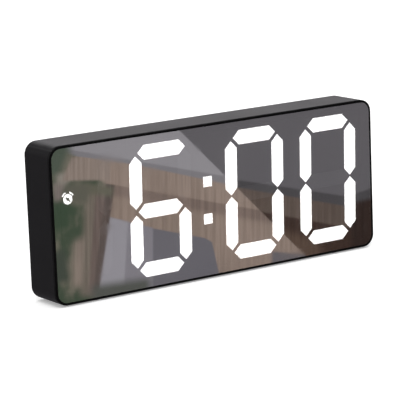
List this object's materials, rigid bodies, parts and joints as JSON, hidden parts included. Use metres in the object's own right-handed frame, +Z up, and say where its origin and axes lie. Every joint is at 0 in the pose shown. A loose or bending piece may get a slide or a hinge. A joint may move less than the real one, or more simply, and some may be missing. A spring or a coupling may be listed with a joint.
{
  "type": "digital desk clock",
  "caption": "Slim free-standing LED desk clock with an edge-to-edge mirrored front, large white seven-segment figures, buttons, switch and power socket on the rear, and a battery door.",
  "frame": {"origin": "on the plane that the feet stand on, under the middle of the case", "axes": "+X to the right as seen from the front along the width, +Y from the mirror to the rear cover, +Z up"},
  "size_m": [0.165, 0.02, 0.0666],
  "materials": {
    "case_plastic": "fine matt texture",
    "cover_plastic": "fine matt texture",
    "mirror_panel": "half-silvered, polished",
    "black_tape": "matt",
    "reflector_plastic": "matt",
    "light_insert": "milky, satin",
    "circuit_board": "green solder mask",
    "led_chip": "phosphor dome",
    "black_component": "moulded epoxy",
    "plated_steel": "nickel plated",
    "spring_steel": "drawn wire",
    "screw_steel": "black zinc",
    "gold_pin": "gold flash",
    "button_plastic": "fine matt texture",
    "plunger_plastic": "moulded",
    "socket_insert": "moulded",
    "cell_jacket": "printed sleeve, plain bands",
    "red_lead": "smooth insulation",
    "black_lead": "smooth insulation",
    "foot_rubber": "matt"
  },
  "bodies": {
    "root": {"housing": "case_plastic", "mirror_lens": "mirror_panel", "lens_tape": "black_tape", "led_reflector": "reflector_plastic", "segments_leading": "light_insert", "segments_hours": "light_insert", "segments_minute_tens": "light_insert", "segments_minute_ones": "light_insert", "colon_dots": "light_insert", "alarm_symbol": "light_insert", "display_board": "circuit_board", "segment_leds": "led_chip", "driver_chip": "black_component", "crystal": "plated_steel", "capacitor": "black_component", "buzzer": "black_component", "control_board": "circuit_board", "board_header": "gold_pin", "tact_switches": "black_component", "slide_switch": "plated_steel", "usb_socket": "plated_steel", "usb_insert": "socket_insert", "rear_cover": "cover_plastic", "battery_1": "cell_jacket", "battery_2": "cell_jacket", "battery_3": "cell_jacket", "contact_positive": "plated_steel", "contact_negative": "plated_steel", "contact_bridge_left": "plated_steel", "contact_bridge_right": "plated_steel", "battery_springs": "spring_steel", "lead_red": "red_lead", "lead_black": "black_lead", "case_screws": "screw_steel", "board_screws": "screw_steel", "feet": "foot_rubber"},
    "set_button": {"button_set": "button_plastic", "plunger_set": "plunger_plastic"},
    "up_button": {"button_up": "button_plastic", "plunger_up": "plunger_plastic"},
    "down_button": {"button_down": "button_plastic", "plunger_down": "plunger_plastic"},
    "switch_knob": {"slide_knob": "button_plastic"},
    "door": {"battery_door": "cover_plastic"}
  },
  "joints": [
    {"name": "set_press", "type": "slide", "parent": "root", "child": "set_button", "axis": [0, -1, 0], "range_m": [0, 0.0004], "stiffness_N_per_m": 1600, "springref_m": -0.0004},
    {"name": "up_press", "type": "slide", "parent": "root", "child": "up_button", "axis": [0, -1, 0], "range_m": [0, 0.0004], "stiffness_N_per_m": 1600, "springref_m": -0.0004},
    {"name": "down_press", "type": "slide", "parent": "root", "child": "down_button", "axis": [0, -1, 0], "range_m": [0, 0.0004], "stiffness_N_per_m": 1600, "springref_m": -0.0004},
    {"name": "switch_slide", "type": "slide", "parent": "root", "child": "switch_knob", "axis": [1, 0, 0], "range_m": [0, 0.002]},
    {"name": "door_swing", "type": "hinge", "parent": "root", "child": "door", "pos_m": [0, 0.0095, 0.00948], "axis": [-1, 0, 0], "range_deg": [0, 70]}
  ]
}
